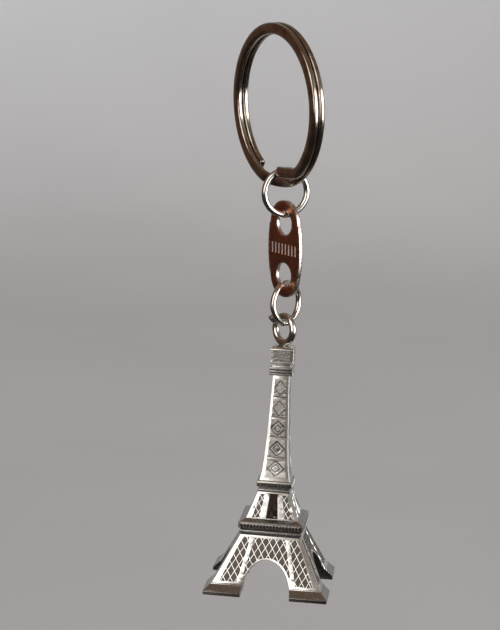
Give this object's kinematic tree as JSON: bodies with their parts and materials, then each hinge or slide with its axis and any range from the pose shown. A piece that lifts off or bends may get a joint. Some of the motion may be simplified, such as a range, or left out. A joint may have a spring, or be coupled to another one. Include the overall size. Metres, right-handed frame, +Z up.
{
  "type": "keychain",
  "caption": "Souvenir keychain: a split ring, jump rings and an oval link tag carrying a cast metal lattice-tower charm with splayed feet.",
  "frame": {"origin": "the inner top of the split ring, the point that the keychain hangs from", "axes": "+Z up, along the hanging chain; the tower's front face looks along -Y, with +X to its right"},
  "size_m": [0.0233, 0.0259, 0.1],
  "materials": {
    "ring_steel": "nickel-plated spring steel, polished, lightly worn",
    "link_steel": "nickel-plated wire, polished",
    "tag_metal": "warm brown plated sheet, satin, with bright edges",
    "tower_plating": "bright nickel plating over a zinc casting, dark in the recesses"
  },
  "bodies": {
    "ring": {"split_ring": "ring_steel"},
    "upper_link": {"upper_jump_ring": "link_steel"},
    "tag": {"tag_plate": "tag_metal"},
    "lower_link": {"lower_jump_ring": "link_steel"},
    "tower": {"tower_charm": "tower_plating"}
  },
  "joints": [
    {"name": "upper_ring_swing", "type": "hinge", "parent": "ring", "child": "upper_link", "pos_m": [0.00263, 0.00088, -0.02535], "axis": [0.7825, -0.622, 0.029], "range_deg": [-90, 25]},
    {"name": "tag_swing", "type": "hinge", "parent": "upper_link", "child": "tag", "pos_m": [0.00356, 0.00156, -0.03115], "axis": [0.897, 0.4377, 0.0615], "range_deg": [-50, 50]},
    {"name": "lower_ring_swing", "type": "hinge", "parent": "tag", "child": "lower_link", "pos_m": [0.00412, 0.00234, -0.04484], "axis": [0.6703, -0.7419, -0.0152], "range_deg": [-60, 60]},
    {"name": "tower_swing", "type": "hinge", "parent": "lower_link", "child": "tower", "pos_m": [0.00438, 0.0027, -0.05051], "axis": [0.7922, 0.6078, 0.0547], "range_deg": [-60, 60]}
  ]
}
